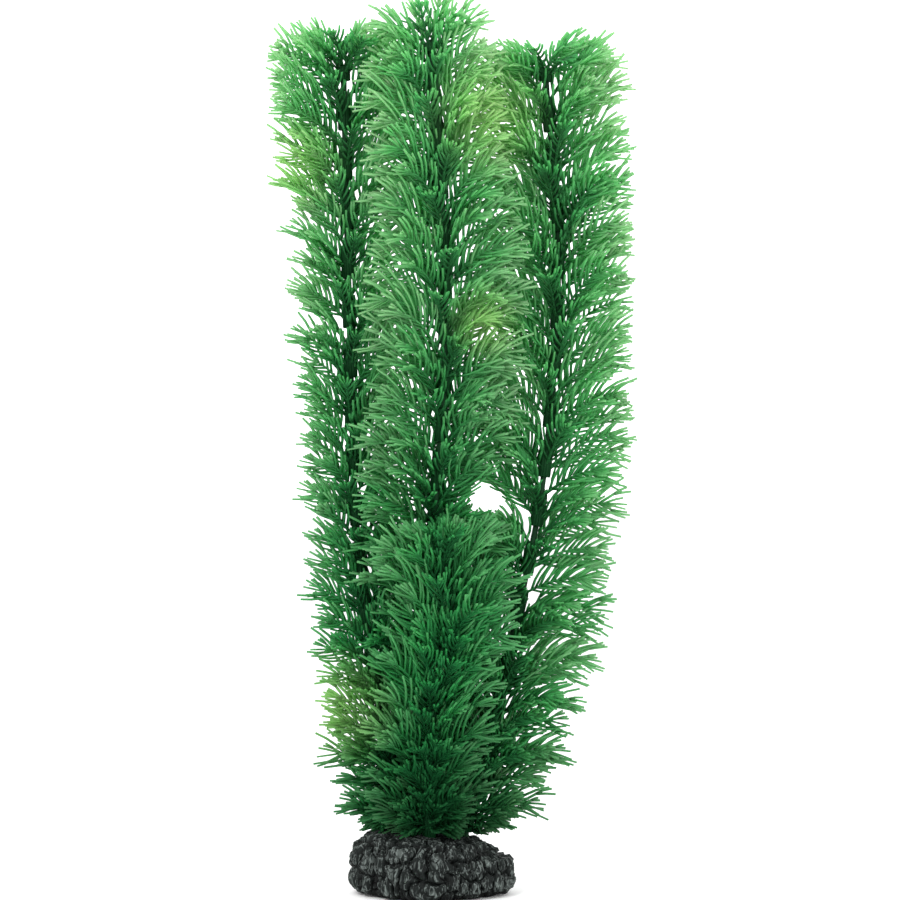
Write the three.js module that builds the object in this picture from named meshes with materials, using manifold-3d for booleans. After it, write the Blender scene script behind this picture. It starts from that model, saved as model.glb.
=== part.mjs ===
// An artificial water plant for an aquarium: four plastic stems in a rock-like resin base.
// Each stem is threaded with whorls, and a whorl is a ring with seven arching fronds.
// Millimetres, +Z up. The origin is the middle of the base's flat underside; the front faces -Y.
import * as THREE from "three";
import { mergeVertices } from "three/addons/utils/BufferGeometryUtils.js";
import Module from "manifold-3d";

const wasm = await Module();
wasm.setup();

// Resin base
const BASE_WIDTH = 64;
const BASE_DEPTH = 50;
const BASE_HEIGHT = 25;
const BASE_SIDES = 36;
const LUMP_DEPTH = 0.07; // share of the radius that a lump stands out by
const LUMPS_AROUND = 11;
const LUMP_ROWS = 3;

// Stems
const STEM_RADIUS = 1.2;
const STEM_FOOT = 10; // height of a stem's lower end, inside the base
const STEM_EXIT = 26; // height up to which a stem is upright
const STEM_SIDES = 6;
const STEM_STEP = 11.5; // length of a straight stretch of a stem
const SOCKET_GAP = 0.5;
const SOCKET_SIDES = 8;

// Whorls
const FRONDS = 7;
const HUB_BORE = 1.85;
const HUB_RADIUS = 3;
const HUB_HEIGHT = 3.2;
const FROND_LENGTH = 36; // from the stem straight to the tip
const FROND_THICKNESS = 0.5;
const WIDEST_AT = 0.55; // along a frond's reach
const WIDEST_SHARE = 0.36; // half width there, by its distance from the stem, at most
const ROOM_SHARE = 0.38; // half of the angle that a frond takes up, by that to its nearer neighbour
const STEEPEST_START = 66; // slope with which a frond leaves its ring, in degrees
const LENGTH_SCATTER = 0.12;
const ANGLE_SCATTER = 7;
const TURN_SCATTER = 3;
// How much steeper a whorl's fronds to the front and back are than those to the sides, in degrees
const FOLD = 18;
const SLIM = 0.28; // and how much shorter, as a share
const SIDEWAYS = 0.6; // how much closer together fronds stand at the sides than on average, as a share
const CROWN_STEEP = 0.76; // length of the top whorl's steep fronds, by the other whorls'
const CROWN_WIDE = 0.8; // and of the fronds between them
const HALF_TURN = Math.PI / FRONDS; // half the angle between two fronds

// Room between fronds that reach into each other's plumes
const FROND_GAP = 0.35;
const STEM_ROOM = 5.8; // no other plume's frond comes nearer to a stem's middle
const DODGES = [0, 8, -8, 16, 26, 38]; // changes of slope that a frond tries before it is shortened
const SHORTENING = 0.93;
const SHORTEST_REACH = 5;
const STEEPEST = 76;
const ROOM_SIDES = 8;

// A see-through gap between the center plume and the right one, just above the short front plume
const CLEARING = { x: 20, z: 150, radius: 7.5, sides: 10, length: 120 };

// Repeatable scatter
const SCATTER_STEPS = [12.9898, 78.233, 37.719];
const SCATTER_GAIN = 43758.5453;
const KEYS_PER_STEM = 20;
const SCATTER_USE = { slope: 1, turn: 2, length: 3, order: 4 };

const MERGE_DISTANCE = 1e-3;
const HALVINGS = 24; // steps of a search for the place on a curve at a height

// Each stem: its foot in the base, its route above that, the heights of its lowest and highest
// whorls, the slope of its fronds' chords at a few heights in degrees, their length there as a share
// of the full length, how much steeper a frond leaves its ring than its chord (arch), and how much
// steeper every second frond of its top whorl is (crown).
const STEMS = [
  {
    name: "left",
    whorls: 16,
    hubs: [27.5, 311],
    foot: [-11.5, 3],
    route: [[-15, 5, 50], [-23, 7, 90], [-29, 8, 142], [-32, 8, 230], [-34, 7, 315]],
    slopes: [[28, 20], [50, 26], [80, 34], [110, 40], [160, 44], [240, 40], [280, 32], [311, 22]],
    lengths: [[28, 0.62], [50, 0.68], [80, 0.62], [110, 0.6], [150, 0.64], [240, 0.72], [280, 0.92]],
    arch: 14,
    crown: 24,
  },
  {
    name: "center",
    whorls: 17,
    hubs: [27.2, 319],
    foot: [-2, 10],
    route: [[-3, 9, 60], [-2, 5, 105], [1.5, -3, 150], [4.5, -9, 190], [4.5, -13, 250], [-0.8, -13, 322]],
    slopes: [[28, 20], [50, 26], [80, 28], [200, 32], [300, 32], [319, 30]],
    lengths: [[28, 0.7], [60, 0.86], [110, 0.84], [270, 0.8], [300, 0.72], [319, 0.74]],
    arch: 26,
    crown: 42,
  },
  {
    name: "right",
    whorls: 16,
    hubs: [28.6, 310],
    foot: [13, 4],
    route: [[21, 5, 54], [30, 6, 94], [41, 6, 147], [47, 6, 205], [48, 5, 250], [43, 4, 314]],
    slopes: [[28, 24], [50, 22], [80, 20], [130, 22], [170, 28], [250, 32], [290, 26], [310, 14]],
    lengths: [[28, 0.66], [60, 0.84], [130, 0.84], [170, 0.95], [250, 0.95], [280, 0.84], [310, 0.88]],
    arch: 20,
    crown: 18,
  },
  {
    name: "front",
    whorls: 6,
    hubs: [26.9, 122],
    foot: [-1, -9],
    route: [[-1, -12, 60], [4, -16, 88], [5.5, -19, 108], [3.5, -20, 126]],
    slopes: [[28, 28], [50, 42], [80, 46], [122, 38]],
    lengths: [[28, 0.66], [60, 0.82], [90, 0.86]],
    arch: 20,
    crown: 24,
  },
];

const ROCK = { color: 0x31383a, roughness: 0.75, metalness: 0 };
const STEM_PLASTIC = { color: 0x1d4526, roughness: 0.45, metalness: 0 };
const FROND_PLASTIC = { color: 0x3f8a4a, roughness: 0.45, metalness: 0 };

const UP = new THREE.Vector3(0, 0, 1);
const plant = new THREE.Group();

function addPiece(name, geometry, finish) {
  const mesh = new THREE.Mesh(geometry, new THREE.MeshStandardMaterial(finish));
  mesh.name = name;
  plant.add(mesh);
  return mesh;
}

// A value between -1 and 1 that looks random, for a whorl, a frond and what it is used for.
function scatter(...keys) {
  const sum = keys.reduce((total, key, i) => total + key * SCATTER_STEPS[i], 0);
  const wave = Math.sin(sum) * SCATTER_GAIN;
  return 2 * (wave - Math.floor(wave)) - 1;
}

// The value at a height, between the pairs of height and value in a list.
function valueAt(pairs, height) {
  const next = pairs.findIndex(([z]) => z > height);
  if (next === 0) return pairs[0][1];
  if (next < 0) return pairs.at(-1)[1];
  const [lowZ, low] = pairs[next - 1];
  const [highZ, high] = pairs[next];
  return THREE.MathUtils.mapLinear(height, lowZ, highZ, low, high);
}

function stemCurve(stem) {
  const upright = [STEM_FOOT, (STEM_FOOT + STEM_EXIT) / 2, STEM_EXIT];
  const points = [...upright.map((height) => [...stem.foot, height]), ...stem.route];
  const places = points.map((point) => new THREE.Vector3(...point));
  return new THREE.CatmullRomCurve3(places, false, "centripetal");
}

// The share of a curve's length at which it reaches a height.
function shareAtHeight(curve, height) {
  let low = 0;
  let high = 1;
  for (let step = 0; step < HALVINGS; step++) {
    const middle = (low + high) / 2;
    if (curve.getPointAt(middle).z < height) low = middle;
    else high = middle;
  }
  return low;
}

function solidOf(geometry) {
  const bare = geometry.clone();
  bare.deleteAttribute("normal");
  bare.deleteAttribute("uv");
  const merged = mergeVertices(bare, MERGE_DISTANCE);
  const vertProperties = merged.attributes.position.array;
  const triVerts = new Uint32Array(merged.index.array);
  return new wasm.Manifold(new wasm.Mesh({ numProp: 3, vertProperties, triVerts }));
}

function geometryOf(solid) {
  const mesh = solid.getMesh();
  const geometry = new THREE.BufferGeometry();
  geometry.setAttribute("position", new THREE.BufferAttribute(mesh.vertProperties, 3));
  geometry.setIndex(new THREE.BufferAttribute(mesh.triVerts, 1));
  geometry.computeVertexNormals();
  return geometry;
}

// Radius and height of the base's side, as shares, from the edge of the underside to the top.
const BASE_PROFILE = [
  [0, 0], [0.94, 0], [1, 0.16], [1, 0.36], [0.97, 0.56], [0.89, 0.76],
  [0.74, 0.91], [0.5, 0.97], [0.25, 0.99], [0, 1],
];

// Lumps stand out in staggered rows, and leave the underside flat.
function lumpyBase() {
  const profile = BASE_PROFILE.map(([radius, height]) => new THREE.Vector2(radius, height));
  const dome = new THREE.LatheGeometry(profile, BASE_SIDES);
  dome.rotateX(Math.PI / 2);
  const place = dome.attributes.position;
  const point = new THREE.Vector3();
  for (let i = 0; i < place.count; i++) {
    point.fromBufferAttribute(place, i);
    const turn = Math.atan2(point.y, point.x);
    const row = point.z * LUMP_ROWS * Math.PI;
    const swell = 1 + LUMP_DEPTH * Math.cos(LUMPS_AROUND * turn + row) * Math.cos(row + 2 * turn);
    place.setXYZ(i, point.x * swell, point.y * swell, point.z * swell);
  }
  dome.computeBoundingBox();
  const size = dome.boundingBox.getSize(new THREE.Vector3());
  dome.scale(BASE_WIDTH / size.x, BASE_DEPTH / size.y, BASE_HEIGHT / size.z);
  dome.computeBoundingBox();
  const middle = dome.boundingBox.getCenter(new THREE.Vector3());
  dome.translate(-middle.x, -middle.y, -dome.boundingBox.min.z);
  return dome;
}

// The hole for a stem's foot, which runs out past the top of the base.
function socketFor(stem) {
  const radius = STEM_RADIUS + SOCKET_GAP;
  const bore = new THREE.CylinderGeometry(radius, radius, BASE_HEIGHT, SOCKET_SIDES);
  bore.rotateX(Math.PI / 2);
  bore.translate(...stem.foot, STEM_FOOT - SOCKET_GAP + BASE_HEIGHT / 2);
  return bore;
}

function addBase() {
  let base = solidOf(lumpyBase());
  for (const stem of STEMS) base = base.subtract(solidOf(socketFor(stem)));
  addPiece("rock_base", geometryOf(base), ROCK);
}

// The corners of a regular polygon.
function polygon(sides, radius) {
  return Array.from({ length: sides }, (_, i) => polar(radius, (2 * Math.PI * i) / sides));
}

function polar(radius, turn) {
  return new THREE.Vector2(radius * Math.cos(turn), radius * Math.sin(turn));
}

function addStem(stem) {
  const section = new THREE.Shape(polygon(STEM_SIDES, STEM_RADIUS));
  const steps = Math.round(stem.curve.getLength() / STEM_STEP);
  const rod = new THREE.ExtrudeGeometry(section, { extrudePath: stem.curve, steps });
  addPiece(`stem_${stem.name}`, rod, STEM_PLASTIC);
}

// Height of a frond above its ring, at a distance along its reach: a parabola that ends on its chord.
function liftAt(frond, distance) {
  const chord = Math.tan(frond.slope);
  const steepest = THREE.MathUtils.degToRad(STEEPEST_START);
  const start = Math.max(Math.tan(Math.min(frond.slope + frond.arch, steepest)), chord);
  return distance * (chord + (start - chord) * (1 - distance / frond.reach));
}

// A frond's outline beyond its ring, seen from above: a wide corner, the tip and the other wide corner.
function outlineOf(frond) {
  const middle = polar(WIDEST_AT * frond.reach, frond.turn);
  const half = polar(frond.width * WIDEST_AT * frond.reach, frond.turn + Math.PI / 2);
  return [middle.clone().sub(half), polar(frond.reach, frond.turn), middle.clone().add(half)];
}

function distanceAlong(frond, spot) {
  return spot.dot(polar(1, frond.turn));
}

// The place above or below a frond's middle surface at a spot, half a thickness away.
function skinPoint(frond, spot, half) {
  const lift = liftAt(frond, distanceAlong(frond, spot));
  return new THREE.Vector3(spot.x, spot.y, lift + half / Math.cos(frond.slope)).applyMatrix4(frond.placing);
}

// A frond with its gap all round, as two convex parts that meet where it is widest.
function bladeOf(frond) {
  const half = FROND_THICKNESS / 2 + FROND_GAP;
  const [first, tip, last] = outlineOf(frond);
  const both = (spot) => [skinPoint(frond, spot, half).toArray(), skinPoint(frond, spot, -half).toArray()];
  const root = [-HALF_TURN, HALF_TURN].flatMap((aside) => {
    const rim = polar(HUB_RADIUS, frond.turn + aside);
    return [HUB_HEIGHT / 2, -HUB_HEIGHT / 2].map((height) =>
      new THREE.Vector3(rim.x, rim.y, height).applyMatrix4(frond.placing).toArray(),
    );
  });
  const middle = [...both(first), ...both(last)];
  const beyond = tip.clone().setLength(tip.length() + FROND_GAP);
  return [wasm.Manifold.hull([...root, ...middle]), wasm.Manifold.hull([...middle, ...both(beyond)])];
}

function boxesMeet(a, b) {
  return [0, 1, 2].every((axis) => a.min[axis] <= b.max[axis] && b.min[axis] <= a.max[axis]);
}

function solidsMeet(a, b) {
  return boxesMeet(a.boundingBox(), b.boundingBox()) && !a.intersect(b).isEmpty();
}

function setSlope(frond, degrees, length) {
  frond.slope = THREE.MathUtils.degToRad(Math.min(degrees, STEEPEST));
  frond.reach = Math.max(length * Math.cos(frond.slope), SHORTEST_REACH);
}

// Finds a frond's slope and length among the solids that are already in place.
function settleFrond(frond, obstacles) {
  const others = obstacles.filter((other) => other.whorl !== frond.whorl && other.clearOf !== frond.stem);
  for (let length = frond.length; length > SHORTEST_REACH; length *= SHORTENING) {
    for (const dodge of DODGES) {
      setSlope(frond, frond.degrees + dodge, length);
      const blade = bladeOf(frond);
      const meets = (other) => blade.some((part) => other.solids.some((solid) => solidsMeet(part, solid)));
      if (!others.some(meets)) return blade;
    }
  }
  setSlope(frond, frond.degrees, SHORTEST_REACH);
  return bladeOf(frond);
}

// Half width of a whorl's fronds where they are widest, so that neighbours stay apart.
function setWidths(fronds) {
  fronds.forEach((frond, i) => {
    const next = i + 1 < fronds.length ? fronds[i + 1].turn : fronds[0].turn + 2 * Math.PI;
    const before = i > 0 ? fronds[i - 1].turn : fronds.at(-1).turn - 2 * Math.PI;
    const room = Math.min(next - frond.turn, frond.turn - before);
    frond.width = Math.min(Math.tan(ROOM_SHARE * room), WIDEST_SHARE);
  });
  return fronds;
}

// Fronds of one whorl, before they are settled.
function frondsOf(stem, index, placing) {
  const isTop = index === stem.whorls - 1;
  const height = stem.hubHeights[index];
  const key = STEMS.indexOf(stem) * KEYS_PER_STEM + index;
  const fronds = Array.from({ length: FRONDS }, (_, i) => {
    const isSteep = isTop && i % 2 === 0;
    const crownLength = isSteep ? CROWN_STEEP : CROWN_WIDE;
    const crownLift = isSteep ? stem.crown : 0;
    const aside = THREE.MathUtils.degToRad(TURN_SCATTER * scatter(key, i, SCATTER_USE.turn));
    const even = HALF_TURN * (2 * i + index);
    const turn = even - (SIDEWAYS / 2) * Math.sin(2 * even) + aside;
    const facing = Math.sin(turn) ** 2;
    const lift = isTop ? crownLift : FOLD * facing;
    const share = valueAt(stem.lengths, height) * (isTop ? crownLength : 1 - SLIM * facing);
    return {
      stem,
      whorl: key,
      placing,
      arch: THREE.MathUtils.degToRad(stem.arch),
      order: scatter(key, i, SCATTER_USE.order),
      degrees: valueAt(stem.slopes, height) + ANGLE_SCATTER * scatter(key, i, SCATTER_USE.slope) + lift,
      turn,
      length: FROND_LENGTH * share * (1 + LENGTH_SCATTER * scatter(key, i, SCATTER_USE.length)),
    };
  });
  return setWidths(fronds);
}

// Room round a stem that fronds of the other plumes keep out of.
function roomAround(stem) {
  const section = new THREE.Shape(polygon(ROOM_SIDES, STEM_ROOM));
  const steps = Math.round(stem.curve.getLength() / STEM_STEP);
  return solidOf(new THREE.ExtrudeGeometry(section, { extrudePath: stem.curve, steps }));
}

// The room between two plumes that every frond keeps out of, seen through from the front.
function clearing() {
  const { radius, sides, length } = CLEARING;
  const room = new THREE.CylinderGeometry(radius, radius, length, sides);
  room.translate(CLEARING.x, 0, CLEARING.z);
  return solidOf(room);
}

// Fronds settle in a mixed order, so that neighbouring plumes reach into each other evenly.
function settleAll(fronds) {
  const obstacles = STEMS.map((stem) => ({ clearOf: stem, solids: [roomAround(stem)] }));
  obstacles.push({ solids: [solidOf(lumpyBase())] }, { solids: [clearing()] });
  for (const frond of fronds.toSorted((a, b) => a.order - b.order)) {
    obstacles.push({ whorl: frond.whorl, solids: settleFrond(frond, obstacles) });
  }
}

// A whorl: a ring and its arching fronds. Each corner is a pair of points, the lower of them first.
function whorlGeometry(fronds) {
  const places = [];
  const indices = [];
  const addPair = (spot, middle, half) => {
    places.push(spot.x, spot.y, middle - half, spot.x, spot.y, middle + half);
    return places.length / 3 - 2;
  };
  // A face seen from above and the same face seen from below, corners counterclockwise from above
  const addFaces = (first, ...rest) => {
    for (let k = 0; k < rest.length - 1; k++) {
      indices.push(first + 1, rest[k] + 1, rest[k + 1] + 1, first, rest[k + 1], rest[k]);
    }
  };
  const addWall = (from, to) => indices.push(from, to, to + 1, from, to + 1, from + 1);

  const notches = fronds.map((frond, i) => {
    const before = i > 0 ? fronds[i - 1].turn : fronds.at(-1).turn - 2 * Math.PI;
    return (before + frond.turn) / 2;
  });
  const bore = notches.map((turn) => addPair(polar(HUB_BORE, turn), 0, HUB_HEIGHT / 2));
  const rim = notches.map((turn) => addPair(polar(HUB_RADIUS, turn), 0, HUB_HEIGHT / 2));
  fronds.forEach((frond, i) => {
    const next = (i + 1) % fronds.length;
    const half = FROND_THICKNESS / 2 / Math.cos(frond.slope);
    const [first, tip, last] = outlineOf(frond).map((spot) =>
      addPair(spot, liftAt(frond, distanceAlong(frond, spot)), half),
    );
    addFaces(bore[i], rim[i], rim[next], bore[next]);
    addFaces(rim[i], first, last, rim[next]);
    addFaces(first, tip, last);
    addWall(rim[i], first);
    addWall(first, tip);
    addWall(tip, last);
    addWall(last, rim[next]);
    addWall(bore[next], bore[i]);
  });
  const whorl = new THREE.BufferGeometry();
  whorl.setAttribute("position", new THREE.Float32BufferAttribute(places, 3));
  whorl.setIndex(indices);
  whorl.computeVertexNormals();
  return whorl;
}

function placeWhorls(stem) {
  const [lowest, highest] = stem.hubs;
  const gap = (highest - lowest) / (stem.whorls - 1);
  stem.hubHeights = Array.from({ length: stem.whorls }, (_, i) => lowest + gap * i);
  return stem.hubHeights.map((height, index) => {
    const share = shareAtHeight(stem.curve, height);
    const hub = stem.curve.getPointAt(share);
    const lean = new THREE.Quaternion().setFromUnitVectors(UP, stem.curve.getTangentAt(share));
    const placing = new THREE.Matrix4().compose(hub, lean, new THREE.Vector3(1, 1, 1));
    const name = `whorl_${stem.name}_${String(index + 1).padStart(2, "0")}`;
    return { name, hub, lean, fronds: frondsOf(stem, index, placing) };
  });
}

for (const stem of STEMS) stem.curve = stemCurve(stem);
const whorls = STEMS.flatMap(placeWhorls);
settleAll(whorls.flatMap((whorl) => whorl.fronds));

addBase();
for (const stem of STEMS) addStem(stem);
for (const whorl of whorls) {
  const mesh = addPiece(whorl.name, whorlGeometry(whorl.fronds), FROND_PLASTIC);
  mesh.position.copy(whorl.hub);
  mesh.quaternion.copy(whorl.lean);
}

export default plant;
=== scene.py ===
# Looks of an artificial water plant: feathery whorls on four stems in a rock-like resin base.
# Metres, +Z up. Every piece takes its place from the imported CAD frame.
import math

import bpy
import numpy as np
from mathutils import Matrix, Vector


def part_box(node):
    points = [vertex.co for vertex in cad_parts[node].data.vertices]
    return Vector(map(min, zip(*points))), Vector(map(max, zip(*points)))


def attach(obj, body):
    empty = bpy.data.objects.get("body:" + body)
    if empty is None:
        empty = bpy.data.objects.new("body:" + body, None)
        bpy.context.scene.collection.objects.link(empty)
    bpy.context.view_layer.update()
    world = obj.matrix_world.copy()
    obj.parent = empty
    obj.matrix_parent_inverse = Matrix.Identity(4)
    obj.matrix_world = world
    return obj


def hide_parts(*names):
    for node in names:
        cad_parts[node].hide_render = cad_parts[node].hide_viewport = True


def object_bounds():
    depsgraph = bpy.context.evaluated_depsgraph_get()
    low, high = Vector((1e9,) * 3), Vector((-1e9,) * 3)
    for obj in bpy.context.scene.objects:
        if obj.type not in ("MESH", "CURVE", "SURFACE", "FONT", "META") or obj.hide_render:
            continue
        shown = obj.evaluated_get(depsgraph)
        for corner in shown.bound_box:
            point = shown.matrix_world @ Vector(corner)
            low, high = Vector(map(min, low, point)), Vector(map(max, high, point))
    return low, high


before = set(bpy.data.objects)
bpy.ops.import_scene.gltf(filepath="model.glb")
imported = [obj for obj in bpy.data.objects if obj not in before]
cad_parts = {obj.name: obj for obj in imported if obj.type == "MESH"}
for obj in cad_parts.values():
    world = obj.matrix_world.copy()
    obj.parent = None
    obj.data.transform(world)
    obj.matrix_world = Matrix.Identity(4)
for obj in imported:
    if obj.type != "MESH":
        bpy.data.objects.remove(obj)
CAD_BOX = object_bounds()

MM = 0.001
SEED = 41
SEED_STEP = 1000  # keeps the whorls' seeds apart from the rock's

# Camera, from the photograph's framing
IMAGE_WIDTH = 915
MM_PER_PIXEL = 0.38
CAMERA_DISTANCE = 0.95
CAMERA_X = 9.7 * MM
CAMERA_HEIGHT = 168.3 * MM
SENSOR = 36
CLIP_START = 0.05

# Whorls in the CAD frame
FRONDS = 7
HUB_RADIUS = 3 * MM
HUB_HALF_HEIGHT = 1.6 * MM
# How much steeper a frond leaves its ring than its chord, for each stem
ARCHES = {
    "left": math.radians(14),
    "center": math.radians(26),
    "right": math.radians(20),
    "front": math.radians(20),
}
STEEPEST_START = math.radians(66)  # slope at which a frond leaves its ring at most
RING_GAP = 3 * MM  # a step in height that parts two rings of a CAD stem
LINE_STEPS = 12
SAME_DECIMALS = 6  # decimals of a metre to which two corners in one place agree

# Rows of fronds on a whorl's sleeve besides the CAD's row: their place by the way up to the next whorl, how
# much steeper they are, their length, how far apart their needles stand, how much they arch by the CAD's own
# fronds and how high on the plant they grow
ROWS = (
    {"rise": 0.5, "lift": math.radians(4), "length": 1.0, "spacing": 1.0, "arch": 1, "up_to": 400 * MM},
    {"rise": 0.25, "lift": math.radians(30), "length": 0.7, "spacing": 1.1, "arch": 1, "up_to": 90 * MM},
    {"rise": 0.1, "lift": math.radians(-9), "length": 0.78, "spacing": 0.9, "arch": 0.3, "up_to": 60 * MM},
    {"rise": 0.04, "lift": math.radians(-24), "length": 0.6, "spacing": 0.75, "arch": 0, "up_to": 32 * MM},
    {"rise": 0, "lift": math.radians(-44), "length": 0.5, "spacing": 0.65, "arch": 0, "up_to": 32 * MM},
    {"rise": -0.25, "lift": math.radians(-34), "length": 0.6, "spacing": 0.75, "arch": 0, "up_to": 45 * MM},
)
SHADED_BELOW = 75 * MM  # height under which the foliage is densest and gets painted shade
FACING = 0.9  # sine of the turn beyond which a frond counts as one to the front or back
STEEPEST = math.radians(80)  # for the fronds of these rows
# The one further row of a dense crown
CROWN_ROW = {
    "rise": 0.15, "lift": math.radians(14), "length": 0.75, "spacing": 1.2, "arch": 1, "up_to": 400 * MM,
}
# The highest whorl of each stem: its further rows, how much further apart the needles of its own row stand
# and how high the tips of that row stand, by the CAD's
CROWNS = {
    "left": {"rows": (CROWN_ROW,), "spacing": 1.4, "rise": 0.85},
    "center": {"rows": (), "spacing": 1.9, "rise": 0.92},
    "right": {"rows": (CROWN_ROW,), "spacing": 1.3, "rise": 0.55},
    "front": {"rows": (CROWN_ROW,), "spacing": 1.2, "rise": 0.9},
}

# A whorl's sleeve, of strands side by side
SLEEVE_STRANDS = 12
SLEEVE_RADIUS = 1.9 * MM
SLEEVE_EDGE = 0.5 * MM
SLEEVE_HALF_WIDTHS = np.array([0.6, 0.9, 0.9, 0.6]) * MM  # at its foot, above its edge and so on
SLEEVE_FLATNESS = 0.8
SLEEVE_REACH = -1.0  # marks the sleeve, which is darker than its fronds

# Fronds
RIB_STEPS = 41
RIB_POINTS = 9
RIB_HALF_WIDTH = 0.6 * MM
RIB_HALF_HEIGHT = 0.5 * MM
RIB_TAPER = 0.45
RIB_START = 0.8 * MM
RIB_END = 0.84
RIB_SWAY = 1.3 * MM
HEADING_STEP = 0.02  # share of a rib over which its direction is taken
BARE_RIB = 4.5 * MM
BARE_SHARE = 0.2  # the most that is bare of a short frond's rib
FACING_PAINTED_SHADE = 6  # painted shade: how much darker fronds to the front and back are
FACING_SHRINK = 0.35  # how much shorter their needles are
SIDE_ROLL = math.radians(60)  # how far the blades of fronds to the sides are turned about their ribs
ROLL_SCATTER = math.radians(12)
FULL_FROND = 30 * MM  # length under which a frond's needles are shorter
SHORT_POWER = 0.7
TONE_SCATTER = 0.25

# Needles
NEEDLE_SPACING = 3.15 * MM
SPACING_RANGE = (0.94, 1.08)
CROWDED_END = 0.86  # power that draws needles together towards a frond's tip
ROOT_SCATTER = 0.2 * MM
NEEDLE_LENGTH = 15.5 * MM
NEEDLE_HALF_WIDTH = 0.55 * MM
NEEDLE_HALF_HEIGHT = 0.5 * MM
NEEDLE_TAPER = 0.18
NEEDLE_RINGS = 4
# Places along a rib, and the length of the needles there
LENGTH_ALONG = ((0, 0.7), (0.25, 0.95), (0.7, 1), (1, 0.84))
LENGTH_SCATTER = 0.07
# Angles of needles in degrees: at the foot of the rib, how much less at its tip, and how much they scatter
SPREAD = (54, 16, 4)
LIFT = (12, 0, 6)
TURN_IN = (36, 12, 6)
DROOP = (15, 0, 5)

# The fan of needles at the end of a rib
FAN_TURNS = np.radians([-36, -12, 12, 36])
FAN_SCATTER = math.radians(4)
FAN_LENGTHS = np.array([9.5, 11, 10.5, 9.5]) * MM
FAN_RANGE = (0.85, 1.05)
FAN_START = 0.6 * MM
FAN_CURL = 0.4
FAN_DROOP = math.radians(14)

# Forked needles
FORKED_SHARE = 0.3
FORK_AT = 0.5
FORK_ANGLE = math.radians(13)
STALK_RINGS = 2
PRONG_RINGS = 3
PRONGS = ((-1, 0.86), (1, 1))  # side and length
PRONG_OVERLAP = 0.6 * NEEDLE_HALF_WIDTH
PRONG_CURL = 0.6

# Where needles end sooner
TRIAL_RINGS = 7
BOX_MARGIN = 1.0 * MM
UNEVEN_MARGIN = np.array([4.5, 4.5, 0]) * MM  # by how much those near the box's sides fall short at most
CLEARING = np.array([20, 150]) * MM  # x and z of the see-through gap between two plumes
CLEARING_RADIUS = 6.5 * MM
CLEARING_RANGE = (0.5, 1.15)
LEAST_LENGTH = 0.05  # share of its length that a needle keeps at least
TINY = 1e-9  # keeps a division or a sign from meeting a zero
ROCK_BOX = np.array(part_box("rock_base")) - [[0, 0, 0], [0, 0, 2.5 * MM]]  # fronds may sink into its top

# Flat map of the strands: a cell for each
CELL_EDGE = 0.06  # room round a strand
CELL_END = 0.16  # share of its cell for each of its ends
CELL_INSET = 0.1
CELL_GAP = 0.02


def points_of(node):
    """Corners of a CAD node's mesh, each of them once."""
    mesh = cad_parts[node].data
    places = np.empty(len(mesh.vertices) * 3)
    mesh.vertices.foreach_get("co", places)
    return np.unique(places.reshape(-1, 3).round(SAME_DECIMALS), axis=0)


def smooth_line(points, steps):
    """A Catmull-Rom line through points, with steps places to each stretch."""
    ends = np.vstack([2 * points[0] - points[1], points, 2 * points[-1] - points[-2]])
    share = np.linspace(0, 1, steps, endpoint=False)[:, None]
    line = []
    for before, start, stop, after in zip(ends, ends[1:], ends[2:], ends[3:]):
        pull = 2 * before - 5 * start + 4 * stop - after
        bend = 3 * start - before - 3 * stop + after
        line.append(start + 0.5 * ((stop - before) * share + pull * share**2 + bend * share**3))
    line.append(points[-1:])
    return np.vstack(line)


def unit(vectors):
    return vectors / np.linalg.norm(vectors, axis=-1, keepdims=True)


def lengths_along(line):
    return np.append(0, np.cumsum(np.linalg.norm(np.diff(line, axis=0), axis=1)))


def place_on(line, at):
    """The places at some lengths along a line."""
    lengths = lengths_along(line)
    return np.stack([np.interp(at, lengths, line[:, axis]) for axis in range(line.shape[1])], axis=-1)


def stem_line(node):
    """The middle line of a CAD stem, from its rings of corners."""
    points = points_of(node)
    points = points[np.argsort(points[:, 2])]
    starts = np.flatnonzero(np.diff(points[:, 2]) > RING_GAP) + 1
    rings = np.split(points, starts)
    return smooth_line(np.array([ring.mean(axis=0) for ring in rings]), LINE_STEPS)


def axes_about(axis):
    """Three axes at right angles, the last of them the one that is given."""
    across = unit(np.cross(axis, [0, 1, 0]))
    return np.stack([across, np.cross(axis, across), axis])


def read_whorl(node, line):
    """A CAD whorl's length along its stem, hub, axes and frond tips, the tips in the hub's axes."""
    points = points_of(node)
    nearest = np.argsort(np.linalg.norm(points[:, None] - line[None], axis=2).min(axis=1))
    bore = points[nearest[: 2 * FRONDS]]
    hub = bore.mean(axis=0)
    at = lengths_along(line)[np.argmin(np.linalg.norm(line - hub, axis=1))]
    up = place_on(line, at + HUB_RADIUS) - place_on(line, at - HUB_RADIUS)
    above = (bore - hub) @ up > 0
    axes = axes_about(unit(bore[above].mean(axis=0) - bore[~above].mean(axis=0)))
    spots = (points[nearest[2 * FRONDS :]] - hub) @ axes.T
    off_side = np.abs(np.hypot(spots[:, 0], spots[:, 1]) - HUB_RADIUS)
    off_rim = off_side + np.abs(np.abs(spots[:, 2]) - HUB_HALF_HEIGHT)
    spots = spots[np.argsort(off_rim)[2 * FRONDS :]]
    turns = np.arctan2(spots[:, 1], spots[:, 0])
    order = np.argsort(turns)
    widest_gap = np.argmax(np.diff(np.append(turns[order], turns[order[0]] + 2 * math.pi)))
    order = np.roll(order, -(widest_gap + 1))
    corners = spots[order].reshape(-1, 2, 3).mean(axis=1)
    reaches = np.hypot(corners[:, 0], corners[:, 1])
    # A CAD frond has three pairs of corners beside its ring's, and its tip is the one farthest out
    first = max(range(3), key=lambda k: reaches[k::3].sum())
    return at, hub, axes, corners[first::3]


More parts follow.
